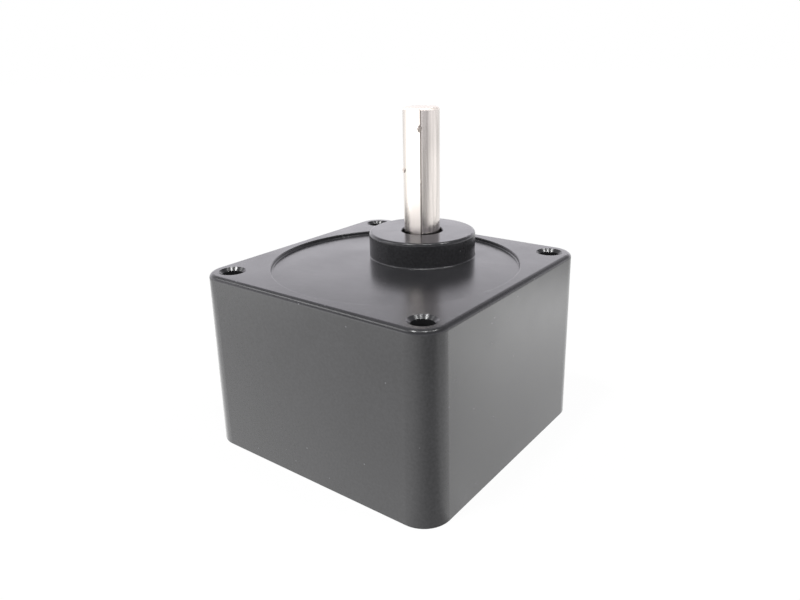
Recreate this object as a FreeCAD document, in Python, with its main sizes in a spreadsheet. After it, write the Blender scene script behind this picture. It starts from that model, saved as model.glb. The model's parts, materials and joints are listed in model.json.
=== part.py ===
import FreeCAD, Part
import math
import os

import Sketcher

# Motor gearhead: a square die-cast case holding a three-stage gear train with an offset output shaft.
# Millimetres. Origin at the middle of the rear (motor side) face, +Z along the output shaft,
# +Y from the motor's axis towards the output shaft.

ORIGIN = FreeCAD.Vector(0, 0, 0)
UP = FreeCAD.Vector(0, 0, 1)
PLANE_TOLERANCE = 0.01
# Numbers of a sketch edge's points, after zero for the edge itself
_, START, END, CENTRE = range(4)

SIZES = {
    # gear case
    "frame_width": 90.0,
    "body_length": 58.6,
    "draft_run": 0.8,
    "corner_radius": 8.8,
    "edge_fillet": 1.5,
    "front_wall": 4.2,
    "recess_wall": 4.9,
    "recess_depth": 1.1,
    "recess_run": 0.2,
    "recess_edge_fillet": 0.35,
    "recess_root_fillet": 0.3,
    "bolt_inset": 8.23,
    "bolt_hole_diameter": 6.6,
    "bolt_hole_chamfer": 1.0,
    "bolt_count": 4,
    # shaft boss
    "output_offset": 15.2,
    "boss_diameter": 35.8,
    "boss_height": 7.2,
    "boss_fillet": 1.0,
    "boss_root_fillet": 0.4,
    "boss_hole_diameter": 13.9,
    "boss_hole_chamfer": 0.25,
    "boss_lip": 2.6,
    # motor side
    "pilot_wall": 3.5,
    "pilot_depth": 4.0,
    "plate_step": 1.0,
    "plate_thickness": 8.0,
    "cavity_step": 2.0,
    "input_hole_diameter": 11.0,
    "input_hole_chamfer": 0.8,
    "seat_floor": 2.5,
    # rear plate fastening
    "screw_count": 4,
    "screw_inset": 2.5,
    "screw_diameter": 4.0,
    "screw_head_diameter": 7.6,
    "screw_length": 14.0,
    "screw_hole_spare": 1.0,
    "screw_recess_width": 0.9,
    "screw_recess_length": 4.2,
    "screw_recess_depth": 1.4,
    "screw_lug_diameter": 9.0,
    "dowel_count": 2,
    "dowel_inset": 2.0,
    "dowel_angle": 330.0,
    "dowel_diameter": 3.0,
    "dowel_length": 10.0,
    "dowel_lug_diameter": 8.0,
    # gear train
    "pressure_angle": 25.0,
    "motor_teeth": 9,
    "first_teeth": 42,
    "first_module": 0.7,
    "helix_angle": 20.0,
    "first_width": 8.0,
    "first_pinion_teeth": 12,
    "second_teeth": 36,
    "second_module": 0.9,
    "second_width": 8.0,
    "second_pinion_teeth": 14,
    "output_teeth": 36,
    "output_module": 1.0,
    "output_width": 10.0,
    "tooth_thinning": 0.1,
    "root_clearance": 0.25,
    "pinion_overhang": 1.0,
    "stage_gap": 1.5,
    "web_recess": 1.6,
    "rim_depth": 2.2,
    "hub_wall": 3.4,
    # shafts
    "shaft_diameter": 12.0,
    "shaft_reach": 47.4,
    "shaft_chamfer": 0.6,
    "flat_depth": 1.0,
    "flat_length": 42.5,
    "seal_seat_diameter": 13.0,
    "gear_seat_diameter": 16.0,
    "output_collar_diameter": 20.0,
    "output_collar_width": 2.0,
    "rear_shaft_diameter": 12.6,
    "output_spacer_wall": 2.0,
    "key_width": 5.0,
    "key_height": 5.0,
    "key_shaft_depth": 3.0,
    "key_end_margin": 1.0,
    "counter_seat_diameter": 8.0,
    "counter_collar_diameter": 9.4,
    "counter_spacer_wall": 1.5,
    # ball bearings: bore, outside diameter, width, ball diameter, ball count
    "main_bore": 15.0,
    "main_outside": 28.0,
    "main_width": 7.0,
    "main_ball": 3.6,
    "main_balls": 11,
    "tail_bore": 8.0,
    "tail_outside": 16.0,
    "tail_width": 5.0,
    "tail_ball": 2.2,
    "tail_balls": 9,
    "counter_bore": 6.0,
    "counter_outside": 15.0,
    "counter_width": 5.0,
    "counter_ball": 2.5,
    "counter_balls": 8,
    "shoulder_share": 0.29,
    "cage_wall": 0.45,
    "ring_chamfer": 0.3,
    "race_clearance": 0.06,
    "cage_clearance": 0.3,
    "seat_wall": 3.0,
    "washer_thickness": 0.5,
    "washer_wall": 1.2,
    # oil seal
    "seal_outside": 25.0,
    "seal_width": 5.0,
    "seal_wall": 1.4,
    "seal_lip_wall": 1.2,
    "seal_lip_width": 2.4,
    "spring_wire": 1.0,
    # clearances
    "fit_clearance": 0.02,
    "seal_clearance": 0.05,
    "face_clearance": 0.2,
    "cut_margin": 1.0,
}

doc = FreeCAD.newDocument("motor_gearhead")
dims = doc.addObject("Spreadsheet::Sheet", "dims")
for row, (alias, number) in enumerate(SIZES.items(), start=1):
    dims.set(f"A{row}", alias)
    dims.set(f"B{row}", str(number))
    dims.setAlias(f"B{row}", alias)
doc.recompute()

# Places that follow from the driving sizes
PLACES = {
    "front_floor": "dims.body_length - dims.recess_depth",
    "ceiling": "dims.body_length - dims.recess_depth - dims.front_wall",
    "boss_top": "dims.body_length + dims.boss_height",
    "shaft_top": "dims.body_length + dims.shaft_reach",
    "flat_bottom": "shaft_top - dims.flat_length",
    "plate_front": "dims.pilot_depth + dims.plate_thickness",
    "seat_bottom": "dims.pilot_depth + dims.seat_floor",
    "draft_angle": "atan(dims.draft_run / dims.body_length)",
    "recess_radius": "dims.frame_width / 2 - dims.recess_wall",
    "recess_foot": "recess_radius - dims.recess_run",
    "pilot_radius": "dims.frame_width / 2 - dims.pilot_wall",
    "plate_radius": "pilot_radius - dims.plate_step",
    "cavity_radius": "plate_radius - dims.cavity_step",
    "first_pitch_sum": "(dims.motor_teeth + dims.first_teeth) * dims.first_module / 2",
    "first_distance": "first_pitch_sum / cos(dims.helix_angle)",
    "second_distance": "(dims.first_pinion_teeth + dims.second_teeth) * dims.second_module / 2",
    "output_distance": "(dims.second_pinion_teeth + dims.output_teeth) * dims.output_module / 2",
    "first_y": "-first_distance",
    "axis_span": "dims.output_offset + first_distance",
    "along_span": "(output_distance ^ 2 - second_distance ^ 2 + axis_span ^ 2) / (2 * axis_span)",
    "second_x": "-sqrt(output_distance ^ 2 - along_span ^ 2)",
    "second_y": "dims.output_offset - along_span",
    "output_turn": "atan2(second_y - dims.output_offset; second_x)",
    "second_pinion_turn": "output_turn + (180 + 180 / dims.second_pinion_teeth) * 1 deg",
    "second_turn": "atan2(first_y - second_y; -second_x)",
    "first_pinion_turn": "second_turn + (180 + 180 / dims.first_pinion_teeth) * 1 deg",
    "first_bottom": "plate_front + dims.stage_gap",
    "first_top": "first_bottom + dims.first_width",
    "second_bottom": "first_top + dims.stage_gap + dims.pinion_overhang",
    "second_top": "second_bottom + dims.second_width",
    "output_bottom": "second_top + dims.stage_gap + dims.pinion_overhang",
    "output_top": "output_bottom + dims.output_width",
    "first_pinion_bottom": "second_bottom - dims.pinion_overhang",
    "first_pinion_top": "second_top + dims.pinion_overhang",
    "second_pinion_bottom": "output_bottom - dims.pinion_overhang",
    "second_pinion_top": "output_top + dims.pinion_overhang",
    "first_seat_bottom": "first_pinion_top + dims.stage_gap",
    "second_seat_bottom": "second_pinion_top + dims.stage_gap",
    "seal_top": "boss_top - dims.boss_lip",
    "seal_bottom": "seal_top - dims.seal_width - dims.face_clearance",
    "main_top": "seal_bottom - dims.fit_clearance",
    "main_bottom": "main_top - dims.main_width",
    "counter_seat_depth": "dims.counter_width + dims.washer_thickness + 2 * dims.fit_clearance",
    "bolt_x": "dims.frame_width / 2 - dims.bolt_inset",
    "screw_x": "(cavity_radius - dims.screw_inset) * cos(45)",
    "dowel_x": "(cavity_radius - dims.dowel_inset) * cos(dims.dowel_angle)",
    "dowel_y": "(cavity_radius - dims.dowel_inset) * sin(dims.dowel_angle)",
}

derived = doc.addObject("Spreadsheet::Sheet", "derived")
for row, (alias, formula) in enumerate(PLACES.items(), start=1):
    derived.set(f"A{row}", alias)
    derived.set(f"B{row}", "=" + formula)
    derived.setAlias(f"B{row}", alias)
    doc.recompute()


def value(expression):
    """The number that an expression on the two sheets gives now."""
    result = dims.evalExpression(expression)
    return float(getattr(result, "Value", result))


def new_body(label, x="0", y="0"):
    """An empty body standing on the axis at x, y."""
    body = doc.addObject("PartDesign::Body", label)
    body.Label = label
    body.AllowCompound = True
    body.setExpression("Placement.Base.x", x)
    body.setExpression("Placement.Base.y", y)
    return body


def origin_feature(body, role):
    """One of a body's own origin planes or axes."""
    return next(item for item in body.Origin.OriginFeatures if item.Role == role)


def new_sketch(body, name, plane="XY_Plane", offset=("0", "0", "0")):
    """A sketch on one of the body's origin planes, shifted by offset along the sketch's own axes."""
    sketch = body.newObject("Sketcher::SketchObject", name)
    sketch.AttachmentSupport = [(origin_feature(body, plane), "")]
    sketch.MapMode = "FlatFace"
    for axis, expression in zip("xyz", offset):
        sketch.setExpression(f"AttachmentOffset.Base.{axis}", expression)
    return sketch


def constrain(sketch, *details):
    """Add a constraint to a sketch and give its number."""
    return sketch.addConstraint(Sketcher.Constraint(*details))


def dimension(sketch, expression, *details):
    """Add a dimension to a sketch and tie it to an expression."""
    index = constrain(sketch, *details, value(expression))
    sketch.setExpression(f"Constraints[{index}]", expression)


def draw_circle(sketch, radius):
    """A circle about the sketch's origin."""
    circle = sketch.addGeometry(Part.Circle(ORIGIN, UP, value(radius)))
    constrain(sketch, "Coincident", circle, CENTRE, -1, START)
    dimension(sketch, radius, "Radius", circle)


def bind_point(sketch, geometry, end, pair):
    """Tie one end of a line, or the centre of an arc, to a pair of expressions."""
    for kind, axis, expression in zip(("DistanceX", "DistanceY"), (-2, -1), pair):
        if expression == "0":
            constrain(sketch, "PointOnObject", geometry, end, axis)
        else:
            dimension(sketch, expression, kind, -1, START, geometry, end)


def flat_point(x, y):
    """A point of a sketch from two expressions."""
    return FreeCAD.Vector(value(x), value(y), 0)


def draw_outline(sketch, points):
    """A closed outline of straight runs through points, each given as two expressions."""
    places = [flat_point(*pair) for pair in points]
    count = len(points)
    for index in range(count):
        sketch.addGeometry(Part.LineSegment(places[index], places[(index + 1) % count]))
    for index in range(count):
        constrain(sketch, "Coincident", index, END, (index + 1) % count, START)
    for index, pair in enumerate(points):
        bind_point(sketch, index, START, pair)


def draw_race_ring(sketch, corners, pitch, middle, race):
    """Section of a bearing ring: six corners round from land to land, and the race between as an arc."""
    places = [flat_point(*pair) for pair in corners]
    centre = flat_point(pitch, middle)
    radius = value(race)
    land = places[0].x
    lean = math.acos(min(1.0, abs(centre.x - land) / radius))
    outward = land > centre.x
    begin = -lean if outward else math.pi - lean
    chord = radius * math.sin(lean)
    upper = FreeCAD.Vector(land, centre.y + chord, 0)
    lower = FreeCAD.Vector(land, centre.y - chord, 0)
    stops = places + [upper]
    for start, end in zip(stops, stops[1:]):
        sketch.addGeometry(Part.LineSegment(start, end))
    upper_run = len(places) - 1
    lower_run = sketch.addGeometry(Part.LineSegment(lower, places[0]))
    arc = sketch.addGeometry(Part.ArcOfCircle(Part.Circle(centre, UP, radius), begin, begin + 2 * lean))
    for index in range(upper_run):
        constrain(sketch, "Coincident", index, END, index + 1, START)
    constrain(sketch, "Coincident", lower_run, END, 0, START)
    arc_ends = (END, START) if outward else (START, END)
    constrain(sketch, "Coincident", upper_run, END, arc, arc_ends[0])
    constrain(sketch, "Coincident", lower_run, START, arc, arc_ends[1])
    constrain(sketch, "Vertical", upper_run)
    constrain(sketch, "Vertical", lower_run)
    for index, pair in enumerate(corners):
        bind_point(sketch, index, START, pair)
    bind_point(sketch, arc, CENTRE, (pitch, middle))
    dimension(sketch, race, "Radius", arc)


def draw_box(sketch, width, height):
    """A rectangle with one corner at the sketch's origin."""
    draw_outline(sketch, [("0", "0"), (width, "0"), (width, height), ("0", height)])


def draw_rounded_square(sketch, width, radius):
    """A square about the sketch's origin with its corners rounded."""
    half = value(width) / 2
    corner = value(radius)
    inner = half - corner
    lines = []
    arcs = []
    for quarter in range(4):
        turn = FreeCAD.Rotation(UP, 90 * quarter)
        start = turn.multVec(FreeCAD.Vector(half, -inner, 0))
        end = turn.multVec(FreeCAD.Vector(half, inner, 0))
        centre = turn.multVec(FreeCAD.Vector(inner, inner, 0))
        circle = Part.Circle(centre, UP, corner)
        begin = math.radians(90 * quarter)
        lines.append(sketch.addGeometry(Part.LineSegment(start, end)))
        arcs.append(sketch.addGeometry(Part.ArcOfCircle(circle, begin, begin + math.pi / 2)))
    for quarter in range(4):
        constrain(sketch, "Tangent", lines[quarter], END, arcs[quarter], START)
        constrain(sketch, "Tangent", arcs[quarter], END, lines[(quarter + 1) % 4], START)
        direction = "Vertical" if quarter % 2 == 0 else "Horizontal"
        constrain(sketch, direction, lines[quarter])
    for arc in arcs[1:]:
        constrain(sketch, "Equal", arcs[0], arc)
    dimension(sketch, radius, "Radius", arcs[0])
    for quarter, line in enumerate(lines):
        kind = "DistanceX" if quarter % 2 == 0 else "DistanceY"
        ends = (-1, START, line, START) if quarter < 2 else (line, START, -1, START)
        dimension(sketch, f"{width} / 2", kind, *ends)


def add_pad(body, sketch, length):
    """Raise a sketch by length along +Z."""
    pad = body.newObject("PartDesign::Pad", "Pad")
    pad.Profile = sketch
    pad.setExpression("Length", length)
    return pad


def add_pocket(body, sketch, depth):
    """Sink a sketch by depth along -Z."""
    pocket = body.newObject("PartDesign::Pocket", "Pocket")
    pocket.Profile = sketch
    pocket.setExpression("Length", depth)
    return pocket


def add_disc(body, radius, bottom, top, x="0", y="0"):
    """A round boss on the axis at x, y from bottom to top."""
    sketch = new_sketch(body, "DiscSketch", offset=(x, y, bottom))
    draw_circle(sketch, radius)
    return add_pad(body, sketch, f"{top} - ({bottom})")


def cut_disc(body, radius, bottom, top, x="0", y="0"):
    """A round hole on the axis at x, y from bottom to top."""
    sketch = new_sketch(body, "HoleSketch", offset=(x, y, top))
    draw_circle(sketch, radius)
    return add_pocket(body, sketch, f"{top} - ({bottom})")


def turn_sketch(body, sketch, kind):
    """Turn a sketch about its own upright axis."""
    feature = body.newObject(f"PartDesign::{kind}", kind)
    feature.Profile = sketch
    feature.ReferenceAxis = (sketch, ["V_Axis"])
    feature.Angle = 360
    return feature


def add_turning(body, points, kind="Revolution", x="0", y="0"):
    """A turned form, or with kind Groove a turned cut, from an outline of radius and height."""
    sketch = new_sketch(body, "TurningSketch", "XZ_Plane", (x, "0", f"-({y})"))
    draw_outline(sketch, points)
    return turn_sketch(body, sketch, kind)


def add_polar(body, features, count):
    """Repeat features evenly about the body's Z axis."""
    pattern = body.newObject("PartDesign::PolarPattern", "Pattern")
    pattern.Originals = features
    pattern.Axis = (origin_feature(body, "Z_Axis"), [""])
    pattern.Angle = 360
    pattern.setExpression("Occurrences", count)
    body.Tip = pattern
    return pattern


def round_edges(feature, radius, height):
    """Names of a feature's full circular edges of one radius at one height."""
    doc.recompute()
    names = []
    for index, edge in enumerate(feature.Shape.Edges, start=1):
        is_level = edge.BoundBox.ZLength < PLANE_TOLERANCE
        if not is_level or not edge.isClosed() or not isinstance(edge.Curve, Part.Circle):
            continue
        same_radius = abs(edge.Curve.Radius - value(radius)) < PLANE_TOLERANCE
        if same_radius and abs(edge.Curve.Center.z - value(height)) < PLANE_TOLERANCE:
            names.append(f"Edge{index}")
    return names


def level_edges(feature, height):
    """Names of a feature's edges that lie wholly at one height."""
    doc.recompute()
    names = []
    for index, edge in enumerate(feature.Shape.Edges, start=1):
        box = edge.BoundBox
        if max(abs(box.ZMin - value(height)), abs(box.ZMax - value(height))) < PLANE_TOLERANCE:
            names.append(f"Edge{index}")
    return names


def add_fillet(body, feature, edges, radius):
    """Round the named edges of a feature."""
    fillet = body.newObject("PartDesign::Fillet", "Fillet")
    fillet.Base = (feature, edges)
    fillet.setExpression("Radius", radius)
    return fillet


def add_chamfer(body, feature, edges, size):
    """Bevel the named edges of a feature."""
    chamfer = body.newObject("PartDesign::Chamfer", "Chamfer")
    chamfer.Base = (feature, edges)
    chamfer.setExpression("Size", size)
    return chamfer


# Gear teeth


def involute(angle):
    """The involute function of a pressure angle in radians."""
    return math.tan(angle) - angle


def tooth_half_angle(teeth, module, pressure, half_thickness, radius):
    """Half the angle that a tooth spans at a radius; inside the base circle it stays the same."""
    pitch = teeth * module / 2
    base = pitch * math.cos(pressure)
    local = math.acos(min(1.0, base / radius))
    return half_thickness / pitch + involute(pressure) - involute(local)


def gear_wire(teeth, module, pressure, addendum, dedendum, turn, height):
    """Outline of a spur gear: each flank is an arc through three points of its involute."""
    pitch = teeth * module / 2
    tip = pitch + addendum
    root = pitch - dedendum
    start = max(root, pitch * math.cos(pressure))
    half_thickness = (math.pi * module / 2 - value("dims.tooth_thinning")) / 2

    def place(radius, angle):
        return FreeCAD.Vector(radius * math.cos(angle), radius * math.sin(angle), height)

    radii = (start, (start + tip) / 2, tip)
    spans = [tooth_half_angle(teeth, module, pressure, half_thickness, radius) for radius in radii]
    step = 2 * math.pi / teeth
    edges = []
    for index in range(teeth):
        middle = turn + index * step
        rising = [place(radius, middle - span) for radius, span in zip(radii, spans)]
        falling = [place(radius, middle + span) for radius, span in zip(reversed(radii), reversed(spans))]
        foot = place(root, middle - spans[0])
        heel = place(root, middle + spans[0])
        next_foot = place(root, middle + step - spans[0])
        has_foot = start - root > PLANE_TOLERANCE
        if has_foot:
            edges.append(Part.makeLine(foot, rising[0]))
        edges.append(Part.Arc(*rising).toShape())
        edges.append(Part.Arc(rising[-1], place(tip, middle), falling[0]).toShape())
        edges.append(Part.Arc(*falling).toShape())
        if has_foot:
            edges.append(Part.makeLine(falling[-1], heel))
        edges.append(Part.Arc(heel, place(root, middle + step / 2), next_foot).toShape())
    return Part.Wire(edges)


def toothed_blank(label, teeth, module, bottom, top, turn, helix="0"):
    """The toothed prism of a gear or pinion on the Z axis; a helix angle twists it from bottom to top."""
    count = round(value(teeth))
    lean = math.radians(value(helix))
    normal_module = value(module)
    slant_module = normal_module / math.cos(lean)
    pressure = math.atan(math.tan(math.radians(value("dims.pressure_angle"))) / math.cos(lean))
    dedendum = normal_module * (1 + value("dims.root_clearance"))
    low = value(bottom)
    high = value(top)
    start = math.radians(value(turn))
    shape_data = (count, slant_module, pressure, normal_module, dedendum)
    first = gear_wire(*shape_data, start, low)
    if lean:
        twist = (high - low) * math.tan(lean) / (count * slant_module / 2)
        last = gear_wire(*shape_data, start + twist, high)
        shape = Part.makeLoft([first, last], True, True)
    else:
        shape = Part.Face(first).extrude(UP * (high - low))
    blank = doc.addObject("Part::Feature", label)
    blank.Shape = shape
    return blank


def cylinder(label, radius, bottom, top):
    """A plain cylinder on the Z axis."""
    shape = doc.addObject("Part::Cylinder", label)
    shape.setExpression("Radius", radius)
    shape.setExpression("Height", f"{top} - ({bottom})")
    shape.setExpression("Placement.Base.z", bottom)
    return shape


def set_place(shape, x, y):
    """Stand a finished shape on the axis at x, y."""
    shape.setExpression("Placement.Base.x", x)
    shape.setExpression("Placement.Base.y", y)


def gear_wheel(label, blank, bore, rim, hub, bottom, top, x, y, keyway=None):
    """A gear: the toothed blank, bored, with a ring sunk into both faces between hub and rim."""
    tools = [cylinder(f"{label}_bore", bore, f"{bottom} - dims.cut_margin", f"{top} + dims.cut_margin")]
    faces = ((bottom, f"{bottom} + dims.web_recess"), (f"{top} - dims.web_recess", top))
    for side, (low, high) in enumerate(faces):
        ring = doc.addObject("Part::Cut", f"{label}_web_{side}")
        ring.Base = cylinder(f"{label}_web_outer_{side}", rim, low, high)
        ring.Tool = cylinder(f"{label}_web_inner_{side}", hub, low, high)
        tools.append(ring)
    if keyway:
        tools.append(keyway)
    cuts = doc.addObject("Part::MultiFuse", f"{label}_cuts")
    cuts.Shapes = tools
    wheel = doc.addObject("Part::Cut", label)
    wheel.Label = label
    wheel.Base = blank
    wheel.Tool = cuts
    set_place(wheel, x, y)
    return wheel


# Ball bearings


def make_bearing(name, family, bottom, x, y):
    """A deep-groove ball bearing as four pieces: outer ring, inner ring, balls and cage."""
    bore = f"dims.{family}_bore / 2"
    outside = f"dims.{family}_outside / 2"
    width = f"dims.{family}_width"
    ball = f"dims.{family}_ball"
    pitch = f"(dims.{family}_bore + dims.{family}_outside) / 4"
    middle = f"{bottom} + {width} / 2"
    top = f"{bottom} + {width}"
    inner_land = f"{pitch} - {ball} * dims.shoulder_share"
    outer_land = f"{pitch} + {ball} * dims.shoulder_share"
    edge = "dims.ring_chamfer"
    bore_wall = f"{bore} + dims.fit_clearance"
    outer_wall = f"{outside} - dims.fit_clearance"
    race = f"{ball} / 2 + dims.race_clearance"
    rings = {
        "outer": (outer_land, outer_wall, f"{outer_wall} - {edge}"),
        "inner": (inner_land, bore_wall, f"{bore_wall} + {edge}"),
    }
    for ring, (land, back, bevel) in rings.items():
        body = new_body(f"{name}_{ring}", x, y)
        corners = [
            (land, bottom),
            (bevel, bottom),
            (back, f"{bottom} + {edge}"),
            (back, f"{top} - {edge}"),
            (bevel, top),
            (land, top),
        ]
        sketch = new_sketch(body, "RingSketch", "XZ_Plane")
        draw_race_ring(sketch, corners, pitch, middle, race)
        turn_sketch(body, sketch, "Revolution")
        pieces.append(body)
    balls = new_body(f"{name}_balls", x, y)
    sphere = balls.newObject("PartDesign::AdditiveSphere", "Ball")
    sphere.setExpression("Radius", f"{ball} / 2")
    sphere.setExpression("Placement.Base.x", pitch)
    sphere.setExpression("Placement.Base.z", middle)
    add_polar(balls, [sphere], f"dims.{family}_balls")
    pieces.append(balls)
    cage = new_body(f"{name}_cage", x, y)
    half = f"({race} + dims.cage_wall)"
    inside = f"{inner_land} + dims.cage_clearance"
    around = f"{outer_land} - dims.cage_clearance"
    low = f"{middle} - {half}"
    high = f"{middle} + {half}"
    add_turning(cage, [(inside, low), (around, low), (around, high), (inside, high)])
    pocket = cage.newObject("PartDesign::SubtractiveCylinder", "BallPocket")
    pocket.Placement = FreeCAD.Placement(ORIGIN, FreeCAD.Rotation(FreeCAD.Vector(0, 1, 0), 90))
    pocket.setExpression("Radius", race)
    pocket.setExpression("Height", outside)
    pocket.setExpression("Placement.Base.z", middle)
    add_polar(cage, [pocket], f"dims.{family}_balls")
    pieces.append(cage)


pieces = []
OUTPUT = ("0", "dims.output_offset")
FIRST = ("0", "derived.first_y")
SECOND = ("derived.second_x", "derived.second_y")
DOWEL = ("derived.dowel_x", "derived.dowel_y")
SCREW = ("derived.screw_x", "derived.screw_x")
BOLT = ("derived.bolt_x", "derived.bolt_x")


def make_gear_case():
    """The die-cast case: a drafted square block, hollowed from the rear, with bearing seats inside."""
    case = new_body("gear_case")
    sketch = new_sketch(case, "FrameSketch")
    draw_rounded_square(sketch, "dims.frame_width", "dims.corner_radius")
    block = add_pad(case, sketch, "dims.body_length")
    block.setExpression("TaperAngle", "-derived.draft_angle")
    add_fillet(case, block, level_edges(block, "dims.body_length"), "dims.edge_fillet")
    dish = [
        ("0", "derived.front_floor"),
        ("derived.recess_foot", "derived.front_floor"),
        ("derived.recess_radius", "dims.body_length"),
        ("0", "dims.body_length"),
    ]
    recess = add_turning(case, dish, "Groove")
    recess_edge = round_edges(recess, "derived.recess_radius", "dims.body_length")
    softened = add_fillet(case, recess, recess_edge, "dims.recess_edge_fillet")
    recess_root = round_edges(softened, "derived.recess_foot", "derived.front_floor")
    add_fillet(case, softened, recess_root, "dims.recess_root_fillet")
    boss = add_disc(case, "dims.boss_diameter / 2", "derived.front_floor", "derived.boss_top", *OUTPUT)
    rim = round_edges(boss, "dims.boss_diameter / 2", "derived.boss_top")
    rounded = add_fillet(case, boss, rim, "dims.boss_fillet")
    root = round_edges(rounded, "dims.boss_diameter / 2", "derived.front_floor")
    add_fillet(case, rounded, root, "dims.boss_root_fillet")
    hollow = [
        ("0", "0"),
        ("derived.pilot_radius", "0"),
        ("derived.pilot_radius", "dims.pilot_depth"),
        ("derived.plate_radius", "dims.pilot_depth"),
        ("derived.plate_radius", "derived.plate_front"),
        ("derived.cavity_radius", "derived.plate_front"),
        ("derived.cavity_radius", "derived.ceiling"),
        ("0", "derived.ceiling"),
    ]
    add_turning(case, hollow, "Groove")
    lug = add_disc(case, "dims.screw_lug_diameter / 2", "derived.plate_front", "derived.ceiling", *SCREW)
    add_polar(case, [lug], "dims.screw_count")
    lug_radius = "dims.dowel_lug_diameter / 2"
    dowel_lug = add_disc(case, lug_radius, "derived.plate_front", "derived.ceiling", *DOWEL)
    add_polar(case, [dowel_lug], "dims.dowel_count")
    counter_seat = "dims.counter_outside / 2 + dims.seat_wall"
    add_disc(case, counter_seat, "derived.first_seat_bottom", "derived.ceiling", *FIRST)
    add_disc(case, counter_seat, "derived.second_seat_bottom", "derived.ceiling", *SECOND)
    main_seat = "dims.main_outside / 2 + dims.seat_wall"
    add_disc(case, main_seat, "derived.main_bottom", "derived.ceiling", *OUTPUT)
    for seat_bottom, place in (("derived.first_seat_bottom", FIRST), ("derived.second_seat_bottom", SECOND)):
        seat_top = f"{seat_bottom} + derived.counter_seat_depth"
        cut_disc(case, "dims.counter_outside / 2", seat_bottom, seat_top, *place)
    cut_disc(case, "dims.main_outside / 2", "derived.main_bottom", "derived.seal_bottom", *OUTPUT)
    cut_disc(case, "dims.seal_outside / 2", "derived.seal_bottom", "derived.seal_top", *OUTPUT)
    mouth = cut_disc(case, "dims.boss_hole_diameter / 2", "derived.seal_top", "derived.boss_top", *OUTPUT)
    mouth_edge = round_edges(mouth, "dims.boss_hole_diameter / 2", "derived.boss_top")
    add_chamfer(case, mouth, mouth_edge, "dims.boss_hole_chamfer")
    bolt_hole = cut_disc(case, "dims.bolt_hole_diameter / 2", "0", "dims.body_length", *BOLT)
    bolts = add_polar(case, [bolt_hole], "dims.bolt_count")
    bolt_edges = round_edges(bolts, "dims.bolt_hole_diameter / 2", "dims.body_length")
    bolt_edges += round_edges(bolts, "dims.bolt_hole_diameter / 2", "0")
    add_chamfer(case, bolts, bolt_edges, "dims.bolt_hole_chamfer")
    screw_hole_top = "dims.pilot_depth + dims.screw_length + dims.screw_hole_spare"
    screw_hole_radius = "dims.screw_diameter / 2 + dims.fit_clearance"
    screw_hole = cut_disc(case, screw_hole_radius, "derived.plate_front", screw_hole_top, *SCREW)
    add_polar(case, [screw_hole], "dims.screw_count")
    dowel_top = "derived.plate_front + dims.dowel_length / 2 + dims.face_clearance"
    dowel_radius = "dims.dowel_diameter / 2 + dims.fit_clearance"
    dowel_hole = cut_disc(case, dowel_radius, "derived.plate_front", dowel_top, *DOWEL)
    add_polar(case, [dowel_hole], "dims.dowel_count")
    pieces.append(case)


def make_rear_plate():
    """The plate that closes the case: three blind bearing seats, the pinion hole, countersunk holes."""
    plate = new_body("rear_plate")
    add_disc(plate, "derived.plate_radius - dims.fit_clearance", "dims.pilot_depth", "derived.plate_front")
    counter_seat = "dims.counter_outside / 2"
    seats = ((counter_seat, FIRST), (counter_seat, SECOND), ("dims.tail_outside / 2", OUTPUT))
    for radius, place in seats:
        cut_disc(plate, radius, "derived.seat_bottom", "derived.plate_front", *place)
    dowel_bottom = "derived.plate_front - dims.dowel_length / 2 - dims.face_clearance"
    dowel_radius = "dims.dowel_diameter / 2 + dims.fit_clearance"
    dowel_hole = cut_disc(plate, dowel_radius, dowel_bottom, "derived.plate_front", *DOWEL)
    add_polar(plate, [dowel_hole], "dims.dowel_count")
    screw_radius = "dims.screw_diameter / 2 + dims.face_clearance"
    screw_hole = cut_disc(plate, screw_radius, "dims.pilot_depth", "derived.plate_front", *SCREW)
    screws = add_polar(plate, [screw_hole], "dims.screw_count")
    sink_edges = round_edges(screws, screw_radius, "dims.pilot_depth")
    add_chamfer(plate, screws, sink_edges, "(dims.screw_head_diameter - dims.screw_diameter) / 2")
    hole_radius = "dims.input_hole_diameter / 2"
    entry = cut_disc(plate, hole_radius, "dims.pilot_depth", "derived.plate_front")
    add_chamfer(plate, entry, round_edges(entry, hole_radius, "dims.pilot_depth"), "dims.input_hole_chamfer")
    pieces.append(plate)


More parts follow.
